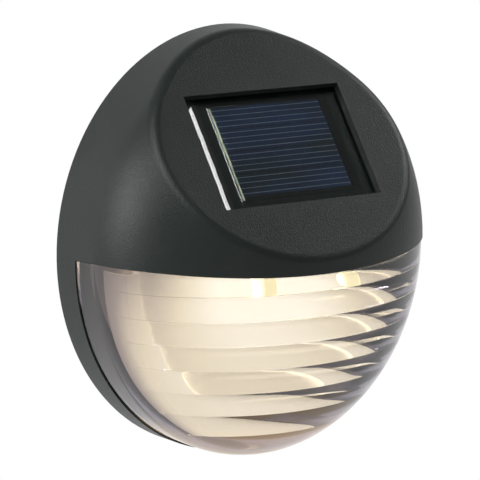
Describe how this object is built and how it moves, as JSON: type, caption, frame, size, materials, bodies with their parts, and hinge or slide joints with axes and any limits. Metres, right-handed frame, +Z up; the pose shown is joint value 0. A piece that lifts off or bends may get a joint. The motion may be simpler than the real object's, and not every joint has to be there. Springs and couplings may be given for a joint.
{
  "type": "solar fence light",
  "caption": "Oval wall-mounted solar light: dark hood with a sloping solar panel over a smoky stepped lens that is lit from inside, with a keyhole back.",
  "frame": {"origin": "centre of the back face, on the wall plane", "axes": "+Y points into the wall, -Y is the front, +X is to the right seen from the front, +Z is up"},
  "size_m": [0.11, 0.057, 0.1264],
  "materials": {
    "housing_plastic": "satin, moulded",
    "lens_plastic": "clear smoky plastic, polished",
    "reflector_plastic": "satin, warm white",
    "tray_plastic": "satin white",
    "led_epoxy": "clear warm epoxy",
    "board_laminate": "green laminate",
    "chip_plastic": "matt black",
    "coil_copper": "enamelled copper wire",
    "capacitor_can": "sleeved can",
    "screw_steel": "zinc plated",
    "seal_foam": "black foam tape",
    "panel_resin": "clear, polished",
    "panel_laminate": "dark laminate",
    "silicon": "dark blue silicon",
    "silver": "tinned",
    "gasket_rubber": "soft, matt",
    "battery_jacket": "plain shrink sleeve",
    "contact_steel": "nickel plated",
    "switch_case": "satin black",
    "wire_red": "flexible insulation"
  },
  "bodies": {
    "case": {"back_gasket": "gasket_rubber", "back_plate": "housing_plastic", "back_screws": "screw_steel", "battery": "battery_jacket", "battery_leads": "wire_red", "battery_spring": "contact_steel", "board_screws": "screw_steel", "capacitor": "capacitor_can", "cell_bus_bar": "silver", "charge_inductor": "coil_copper", "circuit_board": "board_laminate", "controller_chip": "chip_plastic", "front_housing": "housing_plastic", "led_left": "led_epoxy", "led_right": "led_epoxy", "led_tray": "tray_plastic", "lens": "lens_plastic", "negative_contact": "contact_steel", "panel_board": "panel_laminate", "panel_leads": "wire_red", "panel_resin": "panel_resin", "panel_seal": "seal_foam", "positive_contact": "contact_steel", "reflector": "reflector_plastic", "solar_cells": "silicon", "switch_body": "switch_case", "switch_leads": "wire_red"},
    "cover": {"battery_cover": "housing_plastic"},
    "slider": {"switch_slider": "switch_case"}
  },
  "joints": [
    {"name": "cover_hinge", "type": "hinge", "parent": "case", "child": "cover", "pos_m": [0, -0.0016, 0.02915], "axis": [1, 0, 0], "range_deg": [0, 85]},
    {"name": "switch_slide", "type": "slide", "parent": "case", "child": "slider", "axis": [1, 0, 0], "range_m": [0, 0.002]}
  ]
}
